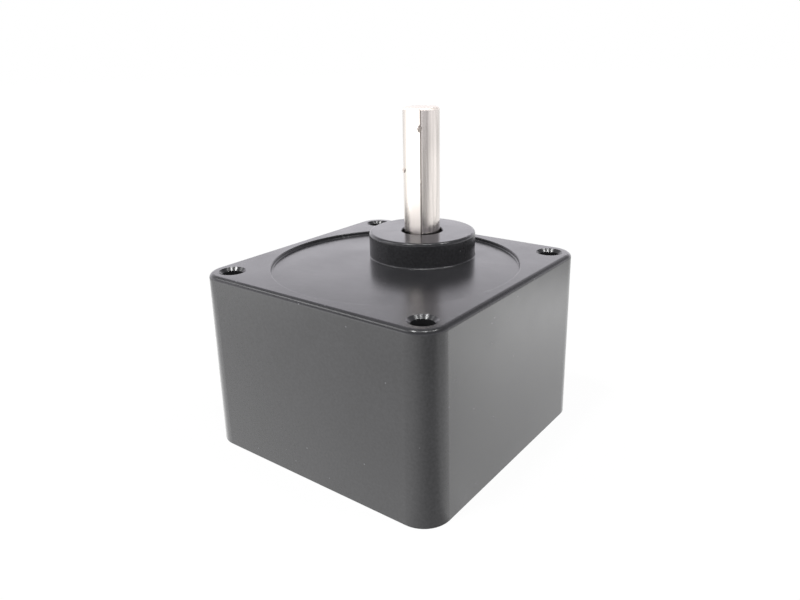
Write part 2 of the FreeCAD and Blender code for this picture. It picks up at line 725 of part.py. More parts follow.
def make_plate_fasteners():
    """Four countersunk cross-recessed screws and two dowel pins."""
    screws = new_body("plate_screws")
    head = "dims.screw_head_diameter / 2"
    shank = "dims.screw_diameter / 2"
    neck = "dims.pilot_depth + (dims.screw_head_diameter - dims.screw_diameter) / 2"
    tip = "dims.pilot_depth + dims.screw_length"
    outline = [
        ("0", "dims.pilot_depth"),
        (head, "dims.pilot_depth"),
        (shank, neck),
        (shank, f"{tip} - dims.ring_chamfer"),
        (f"{shank} - dims.ring_chamfer", tip),
        ("0", tip),
    ]
    turned = add_turning(screws, outline, "Revolution", *SCREW)
    features = [turned]
    slot_top = "dims.pilot_depth + dims.screw_recess_depth"
    slot_sizes = (
        ("dims.screw_recess_width", "dims.screw_recess_length"),
        ("dims.screw_recess_length", "dims.screw_recess_width"),
    )
    for width, length in slot_sizes:
        offset = (f"derived.screw_x - {width} / 2", f"derived.screw_x - {length} / 2", slot_top)
        sketch = new_sketch(screws, "SlotSketch", offset=offset)
        draw_box(sketch, width, length)
        features.append(add_pocket(screws, sketch, "dims.screw_recess_depth"))
    add_polar(screws, features, "dims.screw_count")
    pieces.append(screws)
    dowels = new_body("dowel_pins")
    radius = "dims.dowel_diameter / 2"
    edge = "dims.ring_chamfer"
    bottom = "derived.plate_front - dims.dowel_length / 2"
    top = "derived.plate_front + dims.dowel_length / 2"
    outline = [
        ("0", bottom),
        (f"{radius} - {edge}", bottom),
        (radius, f"{bottom} + {edge}"),
        (radius, f"{top} - {edge}"),
        (f"{radius} - {edge}", top),
        ("0", top),
    ]
    pin = add_turning(dowels, outline, "Revolution", *DOWEL)
    add_polar(dowels, [pin], "dims.dowel_count")
    pieces.append(dowels)


def make_oil_seal():
    """The lip seal in the boss, and the spring ring that closes its lip on the shaft."""
    seal = new_body("oil_seal", *OUTPUT)
    outer = "dims.seal_outside / 2 - dims.fit_clearance"
    lip = "dims.seal_seat_diameter / 2 + dims.seal_clearance"
    lip_back = f"{lip} + dims.seal_lip_wall"
    top = "derived.seal_top - dims.fit_clearance"
    bottom = f"{top} - dims.seal_width"
    web = f"{top} - dims.seal_wall"
    lip_end = f"{web} - dims.seal_lip_width"
    outline = [
        (lip, f"{web} - dims.seal_lip_width / 2"),
        (f"{lip} + dims.seal_lip_wall / 2", top),
        (outer, top),
        (outer, bottom),
        (f"{outer} - dims.seal_wall", bottom),
        (f"{outer} - dims.seal_wall", web),
        (lip_back, web),
        (lip_back, lip_end),
        (f"{lip} + dims.seal_lip_wall / 2", lip_end),
    ]
    add_turning(seal, outline)
    pieces.append(seal)
    spring = doc.addObject("Part::Torus", "seal_spring")
    spring.setExpression("Radius1", f"{lip_back} + dims.spring_wire / 2 + dims.fit_clearance")
    spring.setExpression("Radius2", "dims.spring_wire / 2")
    spring.setExpression("Placement.Base.z", f"{web} - dims.seal_lip_width / 2")
    set_place(spring, *OUTPUT)
    pieces.append(spring)


def make_output_shaft():
    """The output shaft: tail journal, collar, keyed gear seat, front journals and a flatted end."""
    shaft = new_body("output_shaft", *OUTPUT)
    tail = "dims.tail_bore / 2"
    rear = "dims.rear_shaft_diameter / 2"
    seat = "dims.gear_seat_diameter / 2"
    collar = "dims.output_collar_diameter / 2"
    journal = "dims.main_bore / 2"
    seal_seat = "dims.seal_seat_diameter / 2"
    end = "dims.shaft_diameter / 2"
    edge = "dims.shaft_chamfer"
    start = "derived.seat_bottom + dims.face_clearance"
    journal_top = "derived.seat_bottom + dims.tail_width + 2 * dims.face_clearance"
    collar_bottom = "derived.output_bottom - dims.output_collar_width"
    outline = [
        ("0", start),
        (f"{tail} - dims.ring_chamfer", start),
        (tail, f"{start} + dims.ring_chamfer"),
        (tail, journal_top),
        (rear, journal_top),
        (rear, collar_bottom),
        (collar, collar_bottom),
        (collar, "derived.output_bottom"),
        (seat, "derived.output_bottom"),
        (seat, "derived.output_top"),
        (journal, "derived.output_top"),
        (journal, "derived.main_top"),
        (seal_seat, "derived.main_top"),
        (seal_seat, "derived.flat_bottom"),
        (end, "derived.flat_bottom"),
        (end, f"derived.shaft_top - {edge}"),
        (f"{end} - {edge}", "derived.shaft_top"),
        ("0", "derived.shaft_top"),
    ]
    add_turning(shaft, outline)
    flat_offset = (f"-{end}", f"-{end}", "derived.shaft_top")
    flat = new_sketch(shaft, "FlatSketch", offset=flat_offset)
    draw_box(flat, "dims.shaft_diameter", "dims.flat_depth")
    add_pocket(shaft, flat, "dims.flat_length")
    key_offset = (
        "-dims.key_width / 2 - dims.fit_clearance",
        f"{seat} - dims.key_shaft_depth",
        "derived.output_top - dims.key_end_margin",
    )
    keyway = new_sketch(shaft, "KeywaySketch", offset=key_offset)
    draw_box(keyway, "dims.key_width + 2 * dims.fit_clearance", "dims.key_height")
    add_pocket(shaft, keyway, "dims.output_width - 2 * dims.key_end_margin")
    pieces.append(shaft)
    key = new_body("output_key", *OUTPUT)
    key_bottom = "derived.output_bottom + dims.key_end_margin + dims.fit_clearance"
    key_place = ("-dims.key_width / 2", f"{seat} - dims.key_shaft_depth + dims.fit_clearance", key_bottom)
    key_sketch = new_sketch(key, "KeySketch", offset=key_place)
    draw_box(key_sketch, "dims.key_width", "dims.key_height")
    add_pad(key, key_sketch, "dims.output_width - 2 * dims.key_end_margin - 2 * dims.fit_clearance")
    pieces.append(key)
    spacer = new_body("output_spacer", *OUTPUT)
    inside = f"{journal} + dims.fit_clearance"
    outside = f"{inside} + dims.output_spacer_wall"
    top = "derived.main_bottom - dims.fit_clearance"
    bottom = "derived.output_top + dims.fit_clearance"
    add_turning(spacer, [(inside, bottom), (outside, bottom), (outside, top), (inside, top)])
    pieces.append(spacer)


def make_output_gear():
    """The spur wheel keyed to the output shaft."""
    bottom = "derived.output_bottom + dims.fit_clearance"
    top = "derived.output_top"
    blank = toothed_blank(
        "output_gear_teeth", "dims.output_teeth", "dims.output_module", bottom, top, "derived.output_turn"
    )
    keyway = doc.addObject("Part::Box", "output_gear_keyway")
    keyway.setExpression("Length", "dims.key_width + 2 * dims.fit_clearance")
    keyway.setExpression("Width", "dims.key_height")
    keyway.setExpression("Height", "dims.output_width + 2 * dims.cut_margin")
    keyway.setExpression("Placement.Base.x", "-dims.key_width / 2 - dims.fit_clearance")
    keyway_floor = "dims.gear_seat_diameter / 2 - dims.key_shaft_depth + 2 * dims.fit_clearance"
    keyway.setExpression("Placement.Base.y", keyway_floor)
    keyway.setExpression("Placement.Base.z", f"{bottom} - dims.cut_margin")
    root = "dims.output_module * (dims.output_teeth / 2 - 1 - dims.root_clearance)"
    bore = "dims.gear_seat_diameter / 2 + dims.fit_clearance"
    rim = f"{root} - dims.rim_depth"
    hub = "dims.gear_seat_diameter / 2 + dims.hub_wall"
    pieces.append(gear_wheel("output_gear", blank, bore, rim, hub, bottom, top, *OUTPUT, keyway))


def make_counter_shaft(label, teeth, module, pinion_span, turn, gear_span, front_seat, place):
    """A counter shaft: two journals, a gear seat, a collar and its pinion, all in one piece."""
    pinion_bottom, pinion_top = pinion_span
    gear_bottom, gear_top = gear_span
    journal = "dims.counter_bore / 2"
    seat = "dims.counter_seat_diameter / 2"
    collar = "dims.counter_collar_diameter / 2"
    root = f"({module} * ({teeth} / 2 - 1 - dims.root_clearance))"
    edge = "dims.ring_chamfer"
    start = "derived.seat_bottom + dims.face_clearance"
    finish = f"{front_seat} + dims.counter_width"
    turned = new_body(f"{label}_turned")
    outline = [
        ("0", start),
        (f"{journal} - {edge}", start),
        (journal, f"{start} + {edge}"),
        (journal, gear_bottom),
        (seat, gear_bottom),
        (seat, gear_top),
        (collar, gear_top),
        (collar, f"{pinion_bottom} + {edge}"),
        (root, f"{pinion_bottom} + {edge}"),
        (root, f"{front_seat} - dims.face_clearance"),
        (journal, f"{front_seat} - dims.face_clearance"),
        (journal, f"{finish} - {edge}"),
        (f"{journal} - {edge}", finish),
        ("0", finish),
    ]
    add_turning(turned, outline)
    pinion = toothed_blank(f"{label}_pinion", teeth, module, pinion_bottom, pinion_top, turn)
    shaft = doc.addObject("Part::Fuse", label)
    shaft.Label = label
    shaft.Base = turned
    shaft.Tool = pinion
    set_place(shaft, *place)
    pieces.append(shaft)


def make_counter_spacer(label, gear_bottom, place):
    """The sleeve between a counter shaft's rear bearing and its gear."""
    spacer = new_body(label, *place)
    inside = "dims.counter_bore / 2 + dims.fit_clearance"
    outside = f"{inside} + dims.counter_spacer_wall"
    low = "derived.seat_bottom + dims.face_clearance + dims.counter_width + dims.fit_clearance"
    high = f"{gear_bottom} - dims.fit_clearance"
    add_turning(spacer, [(inside, low), (outside, low), (outside, high), (inside, high)])
    pieces.append(spacer)


def make_first_stage():
    """The helical wheel that the motor's pinion drives, on its pinion shaft."""
    make_counter_shaft(
        "first_shaft", "dims.first_pinion_teeth", "dims.second_module",
        ("derived.first_pinion_bottom", "derived.first_pinion_top"), "derived.first_pinion_turn",
        ("derived.first_bottom", "derived.first_top"), "derived.first_seat_bottom", FIRST,
    )
    bottom = "derived.first_bottom"
    top = "derived.first_top - dims.fit_clearance"
    blank = toothed_blank(
        "first_gear_teeth", "dims.first_teeth", "dims.first_module", bottom, top, "0", "dims.helix_angle"
    )
    pitch = "dims.first_teeth * dims.first_module / 2 / cos(dims.helix_angle)"
    root = f"{pitch} - dims.first_module * (1 + dims.root_clearance)"
    bore = "dims.counter_seat_diameter / 2 + dims.fit_clearance"
    rim = f"{root} - dims.rim_depth"
    hub = "dims.counter_seat_diameter / 2 + dims.hub_wall"
    pieces.append(gear_wheel("first_gear", blank, bore, rim, hub, bottom, top, *FIRST))
    make_counter_spacer("first_spacer", "derived.first_bottom", FIRST)


def make_second_stage():
    """The middle spur wheel on its pinion shaft."""
    make_counter_shaft(
        "second_shaft", "dims.second_pinion_teeth", "dims.output_module",
        ("derived.second_pinion_bottom", "derived.second_pinion_top"), "derived.second_pinion_turn",
        ("derived.second_bottom", "derived.second_top"), "derived.second_seat_bottom", SECOND,
    )
    bottom = "derived.second_bottom"
    top = "derived.second_top - dims.fit_clearance"
    blank = toothed_blank(
        "second_gear_teeth", "dims.second_teeth", "dims.second_module", bottom, top, "derived.second_turn"
    )
    root = "dims.second_module * (dims.second_teeth / 2 - 1 - dims.root_clearance)"
    bore = "dims.counter_seat_diameter / 2 + dims.fit_clearance"
    rim = f"{root} - dims.rim_depth"
    hub = "dims.counter_seat_diameter / 2 + dims.hub_wall"
    pieces.append(gear_wheel("second_gear", blank, bore, rim, hub, bottom, top, *SECOND))
    make_counter_spacer("second_spacer", "derived.second_bottom", SECOND)


def make_preload_washers():
    """The thin rings between the front walls of the counter-shaft seats and their bearings."""
    washers = []
    outside = "dims.counter_outside / 2 - dims.face_clearance"
    seats = (("first", "derived.first_seat_bottom", FIRST), ("second", "derived.second_seat_bottom", SECOND))
    for name, seat, place in seats:
        low = f"{seat} + dims.counter_width + dims.fit_clearance"
        high = f"{low} + dims.washer_thickness"
        ring = doc.addObject("Part::Cut", f"{name}_washer")
        ring.Base = cylinder(f"{name}_washer_outer", outside, low, high)
        ring.Tool = cylinder(f"{name}_washer_inner", f"{outside} - dims.washer_wall", low, high)
        set_place(ring, *place)
        washers.append(ring)
    group = doc.addObject("Part::Compound", "preload_washers")
    group.Label = "preload_washers"
    group.Links = washers
    pieces.append(group)


def make_bearings():
    """Front and rear bearing of each of the three shafts."""
    rear = "derived.seat_bottom + dims.face_clearance"
    make_bearing("output_front_bearing", "main", "derived.main_bottom", *OUTPUT)
    make_bearing("output_rear_bearing", "tail", rear, *OUTPUT)
    make_bearing("first_front_bearing", "counter", "derived.first_seat_bottom", *FIRST)
    make_bearing("first_rear_bearing", "counter", rear, *FIRST)
    make_bearing("second_front_bearing", "counter", "derived.second_seat_bottom", *SECOND)
    make_bearing("second_rear_bearing", "counter", rear, *SECOND)


def check_objects():
    """Stop if any object failed or any piece has no valid shape."""
    doc.recompute()
    for item in doc.Objects:
        if "Invalid" in item.State or "Error" in item.State:
            raise RuntimeError(f"{item.Label} failed: {item.State}")
    for piece in pieces:
        if piece.Shape.isNull() or not piece.Shape.isValid() or not piece.Shape.Solids:
            raise RuntimeError(f"{piece.Label} has no valid solid")


def write_parts():
    """Write each piece to its own file."""
    os.makedirs("parts", exist_ok=True)
    for piece in pieces:
        piece.Shape.exportStep(f"parts/{piece.Label}.step")


make_gear_case()
make_rear_plate()
make_plate_fasteners()
make_oil_seal()
make_output_shaft()
make_output_gear()
make_first_stage()
make_second_stage()
make_preload_washers()
make_bearings()
check_objects()
write_parts()
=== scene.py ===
import json
import math

import bpy
import numpy as np
from bpy.props import FloatProperty, FloatVectorProperty, PointerProperty
from bpy.types import Node, NodeSocket, Operator, Panel, PropertyGroup
from mathutils import Matrix, Vector


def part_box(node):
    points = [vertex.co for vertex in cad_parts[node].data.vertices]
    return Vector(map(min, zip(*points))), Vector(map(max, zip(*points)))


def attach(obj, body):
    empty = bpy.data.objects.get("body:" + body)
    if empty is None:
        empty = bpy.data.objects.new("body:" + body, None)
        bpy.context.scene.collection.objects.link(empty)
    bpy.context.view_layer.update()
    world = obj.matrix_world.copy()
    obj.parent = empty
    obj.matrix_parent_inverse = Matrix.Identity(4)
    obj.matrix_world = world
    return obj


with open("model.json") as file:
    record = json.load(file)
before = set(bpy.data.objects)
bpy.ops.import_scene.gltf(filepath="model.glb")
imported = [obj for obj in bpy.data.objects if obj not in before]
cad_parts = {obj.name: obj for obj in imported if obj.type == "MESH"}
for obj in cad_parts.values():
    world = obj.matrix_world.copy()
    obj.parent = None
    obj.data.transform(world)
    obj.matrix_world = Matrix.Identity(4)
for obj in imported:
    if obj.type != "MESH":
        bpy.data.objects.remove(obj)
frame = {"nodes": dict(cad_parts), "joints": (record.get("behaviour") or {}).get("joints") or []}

bl_info = {
    "name": "Motor gearhead",
    "version": (1, 0, 0),
    "blender": (4, 5, 0),
    "location": "View3D > Sidebar > Gearhead",
    "description": "Finishes a square motor gearhead: painted case, steel shaft, gear train and studio",
    "category": "Object",
}

MM = 0.001
PHOTO_WIDTH = 800
SENSOR_WIDTH = 36.0
WHITE = (1.0, 1.0, 1.0, 1.0)

# Places of the model in metres
SHAFT_AXIS = Vector(frame["joints"][0]["pos_m"])
SHAFT_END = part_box("output_shaft")[1].z
# The flat on the shaft lies 5 mm from the axis, so its edges stand 3.32 mm to each side
FLAT_Y = SHAFT_AXIS.y - 5 * MM
FLAT_EDGE = 3.317 * MM
# Middle of the round of the near corner, and a circle about it just inside the case's edge
NEAR_CORNER = 35.8 * MM
CORNER_REACH = 8.6 * MM
# The gear room inside the case ends here, under the front wall
ROOM_TOP = 53.3 * MM
# The motor's pilot is 1 mm wider than the rear plate on each side
PILOT_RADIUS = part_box("rear_plate")[1].x + 1.0 * MM

# Kinds of node that come up often, and their settings
MATH = "ShaderNodeMath"
VECTOR_MATH = "ShaderNodeVectorMath"
SPLIT = "ShaderNodeSeparateXYZ"
RANGE = "ShaderNodeMapRange"
MIX = "ShaderNodeMix"
NOISE = "ShaderNodeTexNoise"
WAVE = "ShaderNodeTexWave"
MAPPING = "ShaderNodeMapping"
BUMP = "ShaderNodeBump"
TIMES = {"operation": "MULTIPLY"}
MINUS = {"operation": "SUBTRACT"}
LARGER = {"operation": "MAXIMUM"}
UNDER = {"operation": "LESS_THAN"}
OVER = {"operation": "GREATER_THAN"}
SCALED = {"operation": "SCALE"}
LENGTH = {"operation": "LENGTH"}
ALONG = {"operation": "DOT_PRODUCT"}
SMOOTH = {"interpolation_type": "SMOOTHSTEP"}
COLOUR = {"data_type": "RGBA"}
RINGS = {"wave_type": "RINGS", "rings_direction": "Z"}
# A range runs from FIRST to LAST while its value runs from LOW to HIGH
LOW, HIGH, FIRST, LAST = 1, 2, 3, 4
# A mix has a factor and either two numbers or two colours
FACTOR, NUMBER_A, NUMBER_B, COLOUR_A, COLOUR_B = 0, 2, 3, 6, 7
# Nearly all values of a noise lie in this span
NOISE_SPAN = {LOW: 0.3, HIGH: 0.7}


def linear(hex_colour):
    """Linear RGBA of an sRGB hex colour."""
    channels = np.array([int(hex_colour[start:start + 2], 16) for start in (1, 3, 5)]) / 255
    steep = ((channels + 0.055) / 1.055) ** 2.4
    return (*(float(c) for c in np.where(channels <= 0.04045, channels / 12.92, steep)), 1.0)


def colour_property(name, description, hex_colour):
    """A colour that the user may change, with its default as sRGB hex."""
    return FloatVectorProperty(
        name=name, description=description, subtype="COLOR", size=4, min=0.0, max=1.0, default=linear(hex_colour)
    )


def length_property(name, description, millimetres):
    """A length that the user may change, with its default in millimetres."""
    return FloatProperty(name=name, description=description, unit="LENGTH", default=millimetres * MM, precision=5)


def angle_property(name, description, degrees):
    """An angle that the user may change, with its default in degrees."""
    return FloatProperty(name=name, description=description, subtype="ANGLE", default=math.radians(degrees))


def level_property(name, description, level):
    """A brightness that the user may change, where 1 is plain white."""
    return FloatProperty(name=name, description=description, min=0.0, default=level)


def share_property(name, description, share):
    """A share of a whole that the user may change."""
    return FloatProperty(name=name, description=description, subtype="FACTOR", min=0.0, max=1.0, default=share)


class GearheadFinish(PropertyGroup):
    """Colours and surface sizes of the gearhead."""

    paint: colour_property("Paint", "Black enamel on the case", "#2e2e30")
    dust: colour_property("Dust", "Specks of dust in the paint", "#78787c")
    bare: colour_property("Bare aluminium", "Machined faces on the motor side", "#b9bbbd")
    cast: colour_property("Cast aluminium", "Rear plate", "#a5a7a9")
    shaft: colour_property("Shaft steel", "Ground output shaft", "#e6dfda")
    burr: colour_property("Burr steel", "Raised metal on the edges of the flat", "#aaa29b")
    milled: colour_property("Milled steel", "Flat and end of the output shaft", "#f4ede6")
    # Painted shade: the colour of the dark line painted along the edge of the shaft's flat
    edge_shade: colour_property("Edge shade", "Painted shade along the edge of the shaft's flat", "#7b746f")
    gear: colour_property("Gear steel", "Hobbed and hardened gears", "#8b8c8f")
    grease: colour_property("Grease", "Grease film on the teeth", "#a7854c")
    ring: colour_property("Bearing steel", "Polished rings and balls", "#c6c8cb")
    plain: colour_property("Plain steel", "Spacers, washers, pins and key", "#9fa1a4")
    zinc: colour_property("Zinc plate", "Screws", "#c2c7cc")
    nylon: colour_property("Nylon", "Bearing cages", "#d6cbae")
    rubber: colour_property("Rubber", "Oil seal", "#1d1d1f")
    peel: length_property("Orange peel", "Width of the paint's ripples", 1.8)
    grit: length_property("Casting grain", "Width of the casting's grain under the paint", 0.8)
    feed: length_property("Turning feed", "Spacing of the turning marks", 0.6)
    grind: length_property("Grinding lines", "Spacing of the grinding lines on the shaft", 0.18)
    nick: length_property("Nick size", "Length of the burrs on the shaft's edges", 1.9)


class GearheadStage(PropertyGroup):
    """Camera and light of the studio."""

    azimuth: angle_property("Azimuth", "Turn of the camera from the front", 37.322)
    elevation: angle_property("Elevation", "Downward tilt of the camera", 20.359)
    roll: angle_property("Roll", "Turn of the camera about its view", -1.178)
    place: FloatVectorProperty(
        name="Camera place", description="Where the camera stands", subtype="TRANSLATION", unit="LENGTH",
        default=(0.13114, -0.16993, 0.12471),
    )
    focus: FloatProperty(
        name="Focal length", description="Focal length in pixels of an image 800 wide", subtype="PIXEL", default=688.7
    )
    floor: length_property("Floor", "Radius of the white floor", 3000)
    daylight: level_property("Room light", "Strength of the room's light", 0.7)
    gloom: share_property("Gloom", "How much darker the room behind the camera is in reflections", 0.65)
    gloom_turn: angle_property("Gloom turn", "Turn of the gloom to the camera's right", 25)
    table: level_property("Near table", "Level of the table in reflections, nearby", 2.0)
    table_right: level_property("Right table", "Level of the table in reflections, right", 3.4)
    table_back: level_property("Back table", "Level of the table in reflections, behind", 1.1)
    table_far: level_property("Far table", "Level of the table in reflections, far out", 1.7)
    window: level_property("Window", "Level of the table in reflections, far left", 3.0)
    shade: share_property("Shade", "How much darker the table is towards the camera", 0.57)
    shade_far: share_property("Far shade", "The same, further out", 0.7)
    mirror: level_property("Mirror level", "Level of the room in reflections", 1.75)
    reflected: colour_property("Mirror tint", "Colour of the room in mirror images", "#faf7ff")


def set_inputs(tree, node, inputs):
    """Link a node's input where a socket or a node is given, with the node's first live output, or set its value."""
    for name, source in inputs.items():
        if isinstance(source, Node):
            source = next(output for output in source.outputs if output.enabled)
        if isinstance(source, NodeSocket):
            tree.links.new(source, node.inputs[name])
        else:
            node.inputs[name].default_value = source


def add_node(tree, kind, settings=None, inputs=None):
    """Add a node with its settings and links."""
    node = tree.nodes.new(kind)
    for name, setting in (settings or {}).items():
        setattr(node, name, setting)
    set_inputs(tree, node, inputs or {})
    return node


def new_finish(name):
    """A new material, its node tree, its default shader and the place on the object, in Object coordinates."""
    material = bpy.data.materials.new(name)
    material.use_nodes = True
    tree = material.node_tree
    place = add_node(tree, "ShaderNodeTexCoord").outputs["Object"]
    return material, tree, tree.nodes["Principled BSDF"], place


def per_length(length):
    """Texture scale at which a pattern repeats about once in a length."""
    return 1 / length


def ring_scale(spacing):
    """Scale of a wave texture whose rings lie a spacing apart: Blender runs 20 radians per unit."""
    return 2 * math.pi / (20 * spacing)


def wear(nodes, material):
    """Give CAD nodes a finish."""
    for name in nodes:
        slots = frame["nodes"][name].data.materials
        slots.clear()
        slots.append(material)


def nodes_ending(*endings):
    """Names of the CAD nodes with one of the endings."""
    return [name for name in frame["nodes"] if name.endswith(endings)]


# Black enamel, sprayed on die-cast aluminium and baked: a near-black body under a glossy skin. The skin gives soft
# mirror images at a flat angle, a faint ripple, clouds of tone and dust specks, and the casting's grain mottles it.
# That grain is about 0.3 mm wide on a real case, too fine to show, so it is drawn at 0.8 mm. The faces machined after
# painting are bare metal. Their turning marks, really some 0.15 mm apart, are drawn 0.6 mm apart to show.
def black_enamel(finish):
    """Finish of the case."""
    material, tree, shader, place = new_finish("black_enamel")
    margin, rear_margin = 0.1 * MM, 0.02 * MM
    cloud_width, speck_spacing = 14 * MM, 4.5 * MM
    peel_depth, grit_depth, feed_depth = 0.012 * MM, 0.004 * MM, 0.01 * MM
    # Share of a speck's cell that it fills, and share of the cells without one
    speck_core, speck_rim, clean_cells = 0.025, 0.06, 0.68

    # Bare metal: the gear room with the pilot, and the rear face
    height = add_node(tree, SPLIT, {}, {"Vector": place}).outputs["Z"]
    level = add_node(tree, VECTOR_MATH, TIMES, {0: place, 1: (1.0, 1.0, 0.0)})
    radius = add_node(tree, VECTOR_MATH, LENGTH, {0: level})
    inside = add_node(tree, MATH, UNDER, {0: radius, 1: PILOT_RADIUS + margin})
    below = add_node(tree, MATH, UNDER, {0: height, 1: ROOM_TOP + margin})
    room = add_node(tree, MATH, TIMES, {0: inside, 1: below})
    rear = add_node(tree, MATH, UNDER, {0: height, 1: rear_margin})
    bare = add_node(tree, MATH, LARGER, {0: room, 1: rear})

    cloud = add_node(tree, NOISE, {}, {"Vector": place, "Scale": per_length(cloud_width), "Detail": 3.0})
    shade = add_node(tree, RANGE, {}, {"Value": cloud, **NOISE_SPAN, FIRST: 0.92, LAST: 1.08})
    grit = add_node(tree, NOISE, {}, {"Vector": place, "Scale": per_length(finish.grit), "Detail": 2.0})
    mottle = add_node(tree, RANGE, {}, {"Value": grit, **NOISE_SPAN, FIRST: 0.8, LAST: 1.2})
    mottled = add_node(tree, MATH, TIMES, {0: shade, 1: mottle})
    tone = add_node(tree, VECTOR_MATH, SCALED, {0: finish.paint[:3], "Scale": mottled})
    cell = add_node(tree, "ShaderNodeTexVoronoi", {}, {"Vector": place, "Scale": per_length(speck_spacing)})
    speck = add_node(tree, RANGE, SMOOTH, {"Value": cell, LOW: speck_core, HIGH: speck_rim, FIRST: 1.0, LAST: 0.0})
    chance = add_node(tree, SPLIT, {}, {"Vector": cell.outputs["Color"]})
    chosen = add_node(tree, MATH, OVER, {0: chance, 1: clean_cells})
    dusty = add_node(tree, MATH, TIMES, {0: speck, 1: chosen})
    painted = add_node(tree, MIX, COLOUR, {FACTOR: dusty, COLOUR_A: tone, COLOUR_B: finish.dust})
    skin = add_node(tree, MIX, COLOUR, {FACTOR: bare, COLOUR_A: painted, COLOUR_B: finish.bare})
    dull = add_node(tree, RANGE, {}, {"Value": cloud, **NOISE_SPAN, FIRST: 0.20, LAST: 0.27})

    peel = add_node(tree, NOISE, {}, {"Vector": place, "Scale": per_length(finish.peel), "Detail": 1.0})
    rings = add_node(
        tree, WAVE, RINGS, {"Vector": place, "Scale": ring_scale(finish.feed), "Distortion": 0.4}
    ).outputs["Fac"]
    turned = add_node(tree, MATH, TIMES, {0: rings, 1: bare})
    ripple = add_node(tree, BUMP, {}, {"Strength": 1.0, "Distance": peel_depth, "Height": peel})
    sprayed = add_node(tree, BUMP, {}, {"Strength": 1.0, "Distance": grit_depth, "Height": grit, "Normal": ripple})
    grain = add_node(tree, BUMP, {}, {"Strength": 1.0, "Distance": feed_depth, "Height": turned, "Normal": sprayed})
    set_inputs(tree, shader, {"Base Color": skin, "Metallic": bare, "Roughness": dull, "IOR": 1.5, "Normal": grain})
    return material


# Turned or ground metal: lines run round an axis, so a lamp draws out into a fan across them. Patches of handling and
# oil change how dull it is from place to place.
def worked_metal(name, colour, roughness, spacing, depth, axis=Vector()):
    """A bare metal with lines round the upright axis at a place, a spacing apart and a depth deep."""
    material, tree, shader, place = new_finish(name)
    patch_width = 6 * MM
    centred = add_node(tree, MAPPING, {}, {"Vector": place, "Location": (-axis.x, -axis.y, 0.0)})
    lines = add_node(
        tree, WAVE, RINGS, {"Vector": centred, "Scale": ring_scale(spacing), "Distortion": 0.6, "Detail": 1.0}
    ).outputs["Fac"]
    patch = add_node(tree, NOISE, {}, {"Vector": place, "Scale": per_length(patch_width), "Detail": 4.0})
    dull = add_node(tree, RANGE, {}, {"Value": patch, **NOISE_SPAN, FIRST: roughness * 0.8, LAST: roughness * 1.25})
    shade = add_node(tree, RANGE, {}, {"Value": patch, **NOISE_SPAN, FIRST: 0.9, LAST: 1.0})
    tone = add_node(tree, VECTOR_MATH, SCALED, {0: colour[:3], "Scale": shade})
    bump = add_node(tree, BUMP, {}, {"Strength": 1.0, "Distance": depth, "Height": lines})
    set_inputs(tree, shader, {"Base Color": tone, "Metallic": 1.0, "Roughness": dull, "Normal": bump})
    return material
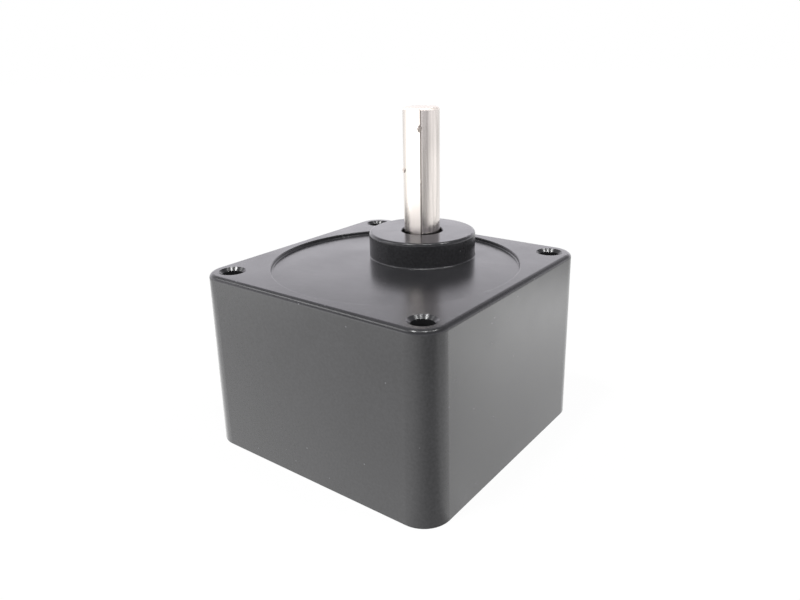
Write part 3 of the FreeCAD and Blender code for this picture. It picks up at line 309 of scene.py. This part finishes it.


# Ground shaft steel: bright, slightly warm. Close lines across the shaft draw mirror images out along it. Real ones lie
# a few hundredths of a millimetre apart and are drawn 0.18 mm apart to show. Long stains run along it, and its upper
# part is painted darker, a painted shade in place of the darker reflection there. A thin line of painted shade lies
# under the raised edge of the flat. The milled flat is duller, with a band of painted shade along its other edge, and
# the turned end is frosted, so it takes the lamps' light from all sides.
def ground_steel(finish):
    """Finish of the output shaft."""
    material, tree, shader, place = new_finish("ground_steel")
    line_length, line_depth = 9 * MM, 0.005 * MM
    stain_width, stain_length = 0.7 * MM, 22 * MM
    # Heights over which the painted shade of the shaft's upper part comes in
    top_shade_low, top_shade_high = 88 * MM, 98 * MM
    end_low, end_high = SHAFT_END - 0.75 * MM, SHAFT_END - 0.6 * MM
    flat_low, flat_high = FLAT_Y + 0.05 * MM, FLAT_Y + 0.1 * MM
    # Where the thin line of painted shade lies, just inside the flat's far edge
    edge_shade_low, edge_shade_high = FLAT_EDGE - 0.5 * MM, FLAT_EDGE - 0.3 * MM
    polish_low, polish_high = -1.8 * MM, -0.3 * MM
    # Where the painted shade along the flat's other edge fades out
    band_shade_low, band_shade_high = 0.3 * MM - FLAT_EDGE, -0.6 * MM
    frost = 0.65

    x, y, z = add_node(tree, SPLIT, {}, {"Vector": place}).outputs
    line_scale = (per_length(line_length), per_length(line_length), per_length(finish.grind))
    squeezed = add_node(tree, MAPPING, {}, {"Vector": place, "Scale": line_scale})
    lines = add_node(tree, NOISE, {}, {"Vector": squeezed, "Scale": 1.0, "Detail": 2.0})
    stain_scale = (per_length(stain_width), per_length(stain_width), per_length(stain_length))
    drawn = add_node(tree, MAPPING, {}, {"Vector": place, "Scale": stain_scale})
    stain = add_node(tree, NOISE, {}, {"Vector": drawn, "Scale": 1.0, "Detail": 3.0})
    dull = add_node(tree, RANGE, {}, {"Value": stain, **NOISE_SPAN, FIRST: 0.15, LAST: 0.23})
    shade = add_node(tree, RANGE, {}, {"Value": stain, LOW: 0.35, HIGH: 0.65, FIRST: 0.82, LAST: 1.0})
    # Painted shade: the upper part is darker, in place of the darker reflection it catches there
    painted_top_shade = add_node(tree, RANGE, SMOOTH, {"Value": z, LOW: top_shade_low, HIGH: top_shade_high, FIRST: 1.0, LAST: 0.86})
    stains_and_top_shade = add_node(tree, MATH, TIMES, {0: shade, 1: painted_top_shade})
    tone = add_node(tree, VECTOR_MATH, SCALED, {0: finish.shaft[:3], "Scale": stains_and_top_shade})

    end = add_node(tree, RANGE, SMOOTH, {"Value": z, LOW: end_low, HIGH: end_high, FIRST: 0.0, LAST: 1.0})
    flat = add_node(tree, RANGE, SMOOTH, {"Value": y, LOW: flat_low, HIGH: flat_high, FIRST: 1.0, LAST: 0.0})
    # Painted shade: a thin dark line under the raised edge of the flat, painted in the edge colour
    side = add_node(tree, RANGE, SMOOTH, {"Value": x, LOW: edge_shade_low, HIGH: edge_shade_high, FIRST: 0.0, LAST: 1.0})
    edge = add_node(tree, MATH, TIMES, {0: flat, 1: side})
    polish = add_node(tree, RANGE, SMOOTH, {"Value": x, LOW: polish_low, HIGH: polish_high, FIRST: 0.25, LAST: 0.45})
    milled = add_node(tree, MIX, {}, {FACTOR: flat, NUMBER_A: dull, NUMBER_B: polish})
    frosted = add_node(tree, MATH, TIMES, {0: end, 1: frost})
    rough = add_node(tree, MATH, LARGER, {0: milled, 1: frosted})
    # Painted shade: the flat is darker in a band along its other edge, in place of a darker reflection; the end keeps
    # its full colour
    painted_band_shade = add_node(tree, RANGE, SMOOTH, {"Value": x, LOW: band_shade_low, HIGH: band_shade_high, FIRST: 0.38, LAST: 1.0})
    band_shade_off_end = add_node(tree, MATH, LARGER, {0: painted_band_shade, 1: end})
    face = add_node(tree, VECTOR_MATH, SCALED, {0: finish.milled[:3], "Scale": band_shade_off_end})
    cut = add_node(tree, MATH, LARGER, {0: flat, 1: end})
    faced = add_node(tree, MIX, COLOUR, {FACTOR: cut, COLOUR_A: tone, COLOUR_B: face})
    edge_shaded = add_node(tree, MIX, COLOUR, {FACTOR: edge, COLOUR_A: faced, COLOUR_B: finish.edge_shade})
    bump = add_node(tree, BUMP, {}, {"Strength": 1.0, "Distance": line_depth, "Height": lines})
    set_inputs(tree, shader, {"Base Color": edge_shaded, "Metallic": 1.0, "Roughness": rough, "Normal": bump})
    return material


# Hobbed gear steel, hardened and run in grease: a dark even grey with an amber film lying in patches.
def greased_steel(finish):
    """Finish of the gears and counter shafts."""
    material, tree, shader, place = new_finish("greased_gear_steel")
    smear_width, hob_width, hob_depth = 5 * MM, 0.4 * MM, 0.004 * MM
    smear = add_node(tree, NOISE, {}, {"Vector": place, "Scale": per_length(smear_width), "Detail": 3.0})
    film = add_node(tree, RANGE, SMOOTH, {"Value": smear, LOW: 0.52, HIGH: 0.66, FIRST: 0.0, LAST: 0.55})
    tone = add_node(tree, MIX, COLOUR, {FACTOR: film, COLOUR_A: finish.gear, COLOUR_B: finish.grease})
    metal = add_node(tree, RANGE, {}, {"Value": film, LOW: 0.0, HIGH: 1.0, FIRST: 1.0, LAST: 0.3})
    dull = add_node(tree, RANGE, {}, {"Value": smear, **NOISE_SPAN, FIRST: 0.38, LAST: 0.22})
    hob = add_node(tree, NOISE, {}, {"Vector": place, "Scale": per_length(hob_width), "Detail": 2.0})
    bump = add_node(tree, BUMP, {}, {"Strength": 1.0, "Distance": hob_depth, "Height": hob})
    set_inputs(tree, shader, {"Base Color": tone, "Metallic": metal, "Roughness": dull, "Normal": bump})
    return material


# Moulded, plated or torn skins: an even body with a fine grain and slow drifts of tone. Real grain is a few hundredths
# of a millimetre wide, so it is drawn some 0.3 mm wide to show.
def grained_skin(name, colour, roughness, metallic, grain, depth, drift=0.12):
    """A skin with a grain of one width and depth, and drifts of tone twenty grains wide."""
    material, tree, shader, place = new_finish(name)
    fine = add_node(tree, NOISE, {}, {"Vector": place, "Scale": per_length(grain), "Detail": 2.0})
    slow = add_node(tree, NOISE, {}, {"Vector": place, "Scale": per_length(20 * grain), "Detail": 2.0})
    shade = add_node(tree, RANGE, {}, {"Value": slow, **NOISE_SPAN, FIRST: 1 - drift, LAST: 1.0})
    tone = add_node(tree, VECTOR_MATH, SCALED, {0: colour[:3], "Scale": shade})
    dull = add_node(tree, RANGE, {}, {"Value": slow, **NOISE_SPAN, FIRST: roughness * 1.15, LAST: roughness * 0.85})
    bump = add_node(tree, BUMP, {}, {"Strength": 1.0, "Distance": depth, "Height": fine})
    set_inputs(tree, shader, {"Base Color": tone, "Metallic": metallic, "Roughness": dull, "Normal": bump})
    return material


def grid_faces(rows, columns):
    """Quads of a grid of rows by columns, closed round the columns, that face out of a pebble and up from a floor."""
    across = np.arange(columns)[None, :]
    start = np.arange(rows - 1)[:, None] * columns
    first = (start + across).ravel()
    second = (start + (across + 1) % columns).ravel()
    return np.stack([first + columns, second + columns, second, first], axis=1).tolist()


def add_surface(name, points, faces, material):
    """A smooth mesh object at the origin from an array of points and a list of faces."""
    mesh = bpy.data.meshes.new(name)
    mesh.from_pydata(points.tolist(), [], faces)
    mesh.polygons.foreach_set("use_smooth", np.ones(len(mesh.polygons), bool))
    mesh.materials.append(material)
    mesh.update()
    item = bpy.data.objects.new(name, mesh)
    bpy.context.scene.collection.objects.link(item)
    return item


def burr_surface(centre, reach, seed):
    """A pebble of raised metal: an ellipsoid with half axes reach, its radius rippled by sines of both angles."""
    rows, columns = 17, 24
    pole, ripple, bulge = 0.02, 0.14, 0.08
    tilt = np.linspace(pole, math.pi - pole, rows)[:, None]
    turn = np.linspace(0, 2 * math.pi, columns, endpoint=False)[None, :]
    swell = 1 + ripple * np.sin(3 * turn + seed) * np.sin(2 * tilt + seed) + bulge * np.sin(5 * tilt + 2 * seed)
    x = reach[0] * swell * np.sin(tilt) * np.cos(turn)
    y = reach[1] * swell * np.sin(tilt) * np.sin(turn)
    z = reach[2] * swell * np.cos(tilt) * np.ones_like(turn)
    points = np.stack([x, y, z], axis=-1).reshape(-1, 3) + np.array(centre)
    faces = grid_faces(rows, columns)
    faces.append(list(range(columns)))
    faces.append(list(range((rows - 1) * columns, rows * columns))[::-1])
    return points, faces


class GearheadOperator(Operator):
    """Base of the gearhead's operators."""

    bl_options = {"REGISTER", "UNDO"}

    @property
    def finish(self):
        """The scene's colours and surface sizes."""
        return bpy.context.scene.gearhead_finish


class GEARHEAD_OT_case(GearheadOperator):
    """Paint the die-cast case and leave its motor side bare"""

    bl_idname = "gearhead.case"
    bl_label = "Paint case"

    def execute(self, context):
        wear(["gear_case"], black_enamel(self.finish))
        return {"FINISHED"}


class GEARHEAD_OT_rear_plate(GearheadOperator):
    """Finish the turned aluminium plate on the motor side"""

    bl_idname = "gearhead.rear_plate"
    bl_label = "Finish rear plate"

    def execute(self, context):
        finish = self.finish
        # Turned cast aluminium: a pale grey with rings about the middle
        aluminium = worked_metal(
            "turned_cast_aluminium", finish.cast, roughness=0.36, spacing=finish.feed, depth=0.01 * MM
        )
        wear(["rear_plate"], aluminium)
        return {"FINISHED"}


class GEARHEAD_OT_shaft(GearheadOperator):
    """Finish the ground output shaft and add the burrs on the edges of its flat"""

    bl_idname = "gearhead.shaft"
    bl_label = "Finish output shaft"

    def execute(self, context):
        finish = self.finish
        wear(["output_shaft"], ground_steel(finish))
        # Steel torn up by set screws: greyer than the shaft where it is fresh, pale and matt where it is rubbed
        raised = grained_skin(
            "raised_burr_steel", finish.burr, roughness=0.4, metallic=1.0, grain=0.3 * MM, depth=0.01 * MM
        )
        rubbed = grained_skin(
            "rubbed_burr_steel", finish.milled, roughness=0.8, metallic=1.0, grain=0.3 * MM, depth=0.01 * MM
        )
        half = finish.nick / 2
        # Name, material, place along the flat's width and up the shaft, half axes
        burrs = (
            ("shaft_burr_top", raised, FLAT_EDGE - 0.45 * MM, 99.8 * MM, (0.85 * half, 0.5 * half, 1.1 * half)),
            ("shaft_burr_side", rubbed, -FLAT_EDGE - 0.1 * MM, 86.3 * MM, (0.55 * half, 0.5 * half, 0.85 * half)),
            ("shaft_burr_low", raised, FLAT_EDGE - 0.05 * MM, 83.0 * MM, (0.32 * half, 0.3 * half, 0.95 * half)),
        )
        for seed, (name, material, x, z, reach) in enumerate(burrs):
            points, faces = burr_surface((x, FLAT_Y, z), reach, seed)
            burr = add_surface(name, points, faces, material)
            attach(burr, "output")
        return {"FINISHED"}


class GEARHEAD_OT_gears(GearheadOperator):
    """Finish the gears and the two counter shafts"""

    bl_idname = "gearhead.gears"
    bl_label = "Finish gear train"

    def execute(self, context):
        wear(nodes_ending("_gear") + ["first_shaft", "second_shaft"], greased_steel(self.finish))
        return {"FINISHED"}


class GEARHEAD_OT_bearings(GearheadOperator):
    """Finish the bearing rings, balls and cages"""

    bl_idname = "gearhead.bearings"
    bl_label = "Finish bearings"

    def execute(self, context):
        finish = self.finish
        # Ground and lapped bearing steel: near a mirror. Its lines are far finer than 0.3 mm and are drawn so to show
        for shaft, joint in (("output", 0), ("second", 1), ("first", 2)):
            axis = Vector(frame["joints"][joint]["pos_m"])
            steel = worked_metal(
                f"{shaft}_bearing_steel", finish.ring, roughness=0.13, spacing=0.3 * MM, depth=0.0015 * MM, axis=axis
            )
            rings = [name for name in nodes_ending("_outer", "_inner", "_balls") if name.startswith(shaft)]
            wear(rings, steel)
        # Moulded nylon: a warm white with a dull sheen
        nylon = grained_skin(
            "moulded_nylon", finish.nylon, roughness=0.5, metallic=0.0, grain=0.35 * MM, depth=0.008 * MM
        )
        wear(nodes_ending("_cage"), nylon)
        return {"FINISHED"}


class GEARHEAD_OT_fasteners(GearheadOperator):
    """Finish the screws, pins, key, washers and spacers"""

    bl_idname = "gearhead.fasteners"
    bl_label = "Finish fasteners"

    def execute(self, context):
        finish = self.finish
        # Zinc plate: bright and bluish, with drifts of tone
        zinc = grained_skin(
            "zinc_plated_steel", finish.zinc, roughness=0.3, metallic=1.0, grain=0.25 * MM, depth=0.003 * MM, drift=0.2
        )
        wear(["plate_screws"], zinc)
        # Drawn steel: a plain grey with a soft shine
        plain = grained_skin(
            "drawn_steel", finish.plain, roughness=0.32, metallic=1.0, grain=0.2 * MM, depth=0.002 * MM, drift=0.15
        )
        wear(["dowel_pins", "output_key", "preload_washers", "seal_spring"] + nodes_ending("_spacer"), plain)
        return {"FINISHED"}


class GEARHEAD_OT_seal(GearheadOperator):
    """Finish the oil seal in the boss"""

    bl_idname = "gearhead.seal"
    bl_label = "Finish oil seal"

    def execute(self, context):
        # Moulded nitrile rubber: near black with a dull sheen
        rubber = grained_skin(
            "nitrile_rubber", self.finish.rubber, roughness=0.55, metallic=0.0, grain=0.3 * MM, depth=0.006 * MM
        )
        wear(["oil_seal"], rubber)
        return {"FINISHED"}


class GEARHEAD_OT_stage(GearheadOperator):
    """Set up the white studio: floor, room light, lamps and camera"""

    bl_idname = "gearhead.stage"
    bl_label = "Set up studio"

    def execute(self, context):
        scene = context.scene
        stage = scene.gearhead_stage
        scene.view_settings.view_transform = "Standard"
        forward = Vector((-math.sin(stage.azimuth), math.cos(stage.azimuth), 0.0))
        add_room(scene, stage, Matrix.Rotation(stage.gloom_turn, 3, "Z") @ -forward)
        add_floor(stage, -forward)
        add_lamps(scene, forward)
        add_camera(scene, stage)
        return {"FINISHED"}


def mirror_rays(tree):
    """The light path node of a tree, and one for rays that a mirror or clear body has sent on."""
    ray = add_node(tree, "ShaderNodeLightPath")
    return ray, add_node(tree, MATH, LARGER, {0: ray.outputs["Is Glossy Ray"], 1: ray.outputs["Is Transmission Ray"]})


def add_room(scene, stage, toward):
    """White to the camera. In mirror images the room has a level above white, darker to the ceiling and behind the
    camera. To other rays it has a plain level, darker to the ceiling."""
    world = bpy.data.worlds.new("white_room")
    scene.world = world
    world.use_nodes = True
    tree = world.node_tree
    tree.nodes.clear()
    way = add_node(tree, "ShaderNodeTexCoord").outputs["Generated"]
    height = add_node(tree, SPLIT, {}, {"Vector": way}).outputs["Z"]
    glow = add_node(tree, RANGE, SMOOTH, {"Value": height, LOW: 0.22, HIGH: 0.6, FIRST: 1.0, LAST: 0.35})
    facing = add_node(tree, VECTOR_MATH, ALONG, {0: way, 1: tuple(toward)})
    darkest = stage.gloom * stage.mirror
    front = add_node(tree, RANGE, SMOOTH, {"Value": facing, LOW: -0.45, HIGH: -0.15, FIRST: 0.0, LAST: darkest})
    lifted = add_node(tree, RANGE, SMOOTH, {"Value": height, LOW: 0.06, HIGH: 0.2, FIRST: 0.0, LAST: 1.0})
    gloom = add_node(tree, MATH, TIMES, {0: front, 1: lifted})
    dimmed = add_node(tree, MATH, MINUS, {0: stage.mirror, 1: gloom})
    plain = add_node(tree, MATH, TIMES, {0: glow, 1: stage.daylight})
    bright = add_node(tree, MATH, TIMES, {0: glow, 1: dimmed})
    ray, mirrored = mirror_rays(tree)
    level = add_node(tree, MIX, {}, {FACTOR: mirrored, NUMBER_A: plain, NUMBER_B: bright})
    strength = add_node(tree, MIX, {}, {FACTOR: ray.outputs["Is Camera Ray"], NUMBER_A: level, NUMBER_B: 1.0})
    colour = add_node(tree, MIX, COLOUR, {FACTOR: mirrored, COLOUR_A: WHITE, COLOUR_B: stage.reflected})
    background = add_node(tree, "ShaderNodeBackground", {}, {"Color": colour, "Strength": strength})
    add_node(tree, "ShaderNodeOutputWorld", {}, {"Surface": background})


# Matt white card: white to the camera, with the object's shadow kept. In mirror images it has the table's levels, and
# for other light it is a plain white.
def white_floor(stage, toward):
    """Finish of the floor."""
    material, tree, shader, place = new_finish("white_floor")
    set_inputs(tree, shader, {"Base Color": linear("#e6e6e6"), "Roughness": 0.9})
    # Level to the camera, and the part of the floor's look, near the object and far out, that no shadow darkens
    seen_level, near_share, far_share = 1.02, 0.93, 1.0
    # Parts of the right table's level in the object's shadow, and of the shade where it thins out
    shadow_share, thin_share = 0.45, 0.42
    # Turns about the near corner, from the camera to its right, where the shade begins, is full, fades, thins and ends
    begin, full, fade, thin, gone = (math.radians(turn) for turn in (-45, 24, 36, 76, 125))
    # Turns where the window begins, and where the right and the back of the table begin and are full
    window_edge, right_low, right_high, back_high = (math.radians(turn) for turn in (-62, 88, 122, 118))

    x = add_node(tree, SPLIT, {}, {"Vector": place}).outputs["X"]
    distance = add_node(tree, VECTOR_MATH, LENGTH, {0: place})
    corner = add_node(tree, VECTOR_MATH, MINUS, {0: place, 1: (NEAR_CORNER, -NEAR_CORNER, 0.0)})
    ahead = add_node(tree, VECTOR_MATH, ALONG, {0: corner, 1: tuple(toward)})
    side = add_node(tree, VECTOR_MATH, ALONG, {0: corner, 1: (-toward.y, toward.x, 0.0)})
    turn = add_node(tree, MATH, {"operation": "ARCTAN2"}, {0: side, 1: ahead})
    apart = add_node(tree, MATH, {"operation": "ABSOLUTE"}, {0: turn, 1: 0.0})

    # A sector of the floor towards the camera lies in shade, mostly at the camera's right
    depth = add_node(
        tree, RANGE, SMOOTH, {"Value": distance, LOW: 0.14, HIGH: 0.22, FIRST: stage.shade, LAST: stage.shade_far}
    )
    shade = add_node(tree, RANGE, SMOOTH, {"Value": turn, LOW: begin, HIGH: full, FIRST: 0.0, LAST: depth})
    falling = add_node(tree, RANGE, SMOOTH, {"Value": turn, LOW: fade, HIGH: thin, FIRST: 1.0, LAST: 0.0})
    tail = add_node(tree, RANGE, SMOOTH, {"Value": turn, LOW: thin, HIGH: gone, FIRST: thin_share, LAST: 0.0})
    fading = add_node(tree, MATH, LARGER, {0: falling, 1: tail})
    sector = add_node(tree, MATH, TIMES, {0: shade, 1: fading})
    open_share = add_node(tree, MATH, MINUS, {0: 1.0, 1: sector})

    # The object's own shadow falls to the right
    dark_right = shadow_share * stage.table_right
    shadow = add_node(
        tree, RANGE, SMOOTH, {"Value": x, LOW: 0.045, HIGH: 0.13, FIRST: dark_right, LAST: stage.table_right}
    )
    near = add_node(
        tree, RANGE, SMOOTH, {"Value": turn, LOW: right_low, HIGH: right_high, FIRST: stage.table, LAST: shadow}
    )
    left = add_node(
        tree, RANGE, SMOOTH, {"Value": turn, LOW: window_edge, HIGH: begin, FIRST: stage.window, LAST: stage.table_far}
    )
    far = add_node(
        tree, RANGE, SMOOTH, {"Value": apart, LOW: right_low, HIGH: back_high, FIRST: left, LAST: stage.table_back}
    )
    lit = add_node(tree, RANGE, SMOOTH, {"Value": distance, LOW: 0.16, HIGH: 0.26, FIRST: near, LAST: far})
    reflected = add_node(tree, MATH, TIMES, {0: lit, 1: open_share})

    ray, mirrored = mirror_rays(tree)
    level = add_node(tree, MIX, {}, {FACTOR: mirrored, NUMBER_A: seen_level, NUMBER_B: reflected})
    glow = add_node(tree, "ShaderNodeEmission", {}, {"Color": WHITE, "Strength": level})
    seen = add_node(tree, MATH, LARGER, {0: ray.outputs["Is Camera Ray"], 1: mirrored})
    kept = add_node(
        tree, RANGE, SMOOTH, {"Value": distance, LOW: 0.4, HIGH: 1.2, FIRST: near_share, LAST: far_share}
    )
    share = add_node(tree, MATH, TIMES, {0: seen, 1: kept})

    # Under the case, seen through its holes, the floor only has the light that falls there
    quarter = add_node(tree, VECTOR_MATH, {"operation": "ABSOLUTE"}, {0: place})
    outside = add_node(tree, VECTOR_MATH, MINUS, {0: quarter, 1: (NEAR_CORNER, NEAR_CORNER, 0.0)})
    beyond = add_node(tree, VECTOR_MATH, LARGER, {0: outside, 1: (0.0, 0.0, 0.0)})
    reach = add_node(tree, VECTOR_MATH, LENGTH, {0: beyond})
    open_floor = add_node(tree, MATH, OVER, {0: reach, 1: CORNER_REACH})
    glowing = add_node(tree, MATH, TIMES, {0: share, 1: open_floor})
    mix = add_node(tree, "ShaderNodeMixShader", {}, {0: glowing, 1: shader, 2: glow})
    set_inputs(tree, tree.nodes["Material Output"], {"Surface": mix})
    return material


def add_floor(stage, toward):
    """A round floor: rings of points whose radius grows as the square of the ring's number."""
    rings, spokes, innermost = 24, 96, 0.02
    radius = stage.floor * np.linspace(innermost, 1.0, rings)[:, None] ** 2
    turn = np.linspace(0, 2 * math.pi, spokes, endpoint=False)[None, :]
    points = np.stack(
        [radius * np.cos(turn), radius * np.sin(turn), np.zeros((rings, spokes))], axis=-1
    ).reshape(-1, 3)
    faces = grid_faces(rings, spokes)
    faces.append(list(range(spokes)))
    return add_surface("floor", points, faces, white_floor(stage, toward))


def add_lamps(scene, forward):
    """Three lamps on the ceiling, a window at the left and a long soft light low behind the object."""
    right = Vector((forward.y, -forward.x, 0.0))
    # Name, reach to the right, forward and up in metres, width and height, radiance
    lamps = (
        ("lamp_ceiling_left", (-0.89, -0.58, 2.5), (0.33, 0.33), 78.0),
        ("lamp_ceiling_middle", (0.30, -0.74, 2.5), (0.31, 0.31), 50.0),
        ("lamp_ceiling_right", (1.33, -0.41, 2.5), (0.31, 0.31), 55.0),
        ("lamp_left", (-1.2, -0.1, 1.0), (0.9, 0.34), 4.5),
        ("lamp_back", (0.15, 1.6, 0.48), (1.8, 0.26), 0.35),
    )
    aim = Vector((0, 0, 0.06))
    for name, (across, ahead, up), size, radiance in lamps:
        light = bpy.data.lights.new(name, "AREA")
        light.shape = "RECTANGLE"
        light.size, light.size_y = size
        light.energy = math.pi * radiance * size[0] * size[1]
        lamp = bpy.data.objects.new(name, light)
        scene.collection.objects.link(lamp)
        lamp.location = across * right + ahead * forward + Vector((0, 0, up))
        lamp.rotation_euler = (aim - lamp.location).to_track_quat("-Z", "Y").to_euler()
        lamp.visible_camera = False


def add_camera(scene, stage):
    """The camera of the photograph, from its angles, place and focal length."""
    data = bpy.data.cameras.new("camera")
    data.sensor_fit = "HORIZONTAL"
    data.sensor_width = SENSOR_WIDTH
    data.lens = stage.focus * SENSOR_WIDTH / PHOTO_WIDTH
    data.clip_start = 0.01
    camera = bpy.data.objects.new("camera", data)
    scene.collection.objects.link(camera)
    turn = Matrix.Rotation(stage.azimuth, 4, "Z")
    tilt = Matrix.Rotation(math.pi / 2 - stage.elevation, 4, "X")
    roll = Matrix.Rotation(stage.roll, 4, "Z")
    camera.matrix_world = Matrix.Translation(stage.place) @ turn @ tilt @ roll
    scene.camera = camera


OPERATORS = (
    GEARHEAD_OT_case,
    GEARHEAD_OT_rear_plate,
    GEARHEAD_OT_shaft,
    GEARHEAD_OT_gears,
    GEARHEAD_OT_bearings,
    GEARHEAD_OT_fasteners,
    GEARHEAD_OT_seal,
    GEARHEAD_OT_stage,
)


class GEARHEAD_PT_panel(Panel):
    """Lists the gearhead's operators"""

    bl_label = "Gearhead"
    bl_idname = "GEARHEAD_PT_panel"
    bl_space_type = "VIEW_3D"
    bl_region_type = "UI"
    bl_category = "Gearhead"

    def draw(self, context):
        for kind in OPERATORS:
            self.layout.operator(kind.bl_idname)


CLASSES = (GearheadFinish, GearheadStage, *OPERATORS, GEARHEAD_PT_panel)


def register():
    """Add the classes and the scene's two groups of values."""
    for kind in CLASSES:
        bpy.utils.register_class(kind)
    bpy.types.Scene.gearhead_finish = PointerProperty(type=GearheadFinish)
    bpy.types.Scene.gearhead_stage = PointerProperty(type=GearheadStage)


def unregister():
    """Take away what register adds."""
    del bpy.types.Scene.gearhead_stage
    del bpy.types.Scene.gearhead_finish
    for kind in reversed(CLASSES):
        bpy.utils.unregister_class(kind)


def main():
    """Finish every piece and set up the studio."""
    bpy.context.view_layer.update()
    register()
    bpy.ops.gearhead.case()
    bpy.ops.gearhead.rear_plate()
    bpy.ops.gearhead.shaft()
    bpy.ops.gearhead.gears()
    bpy.ops.gearhead.bearings()
    bpy.ops.gearhead.fasteners()
    bpy.ops.gearhead.seal()
    bpy.ops.gearhead.stage()


if __name__ == "__main__":
    main()
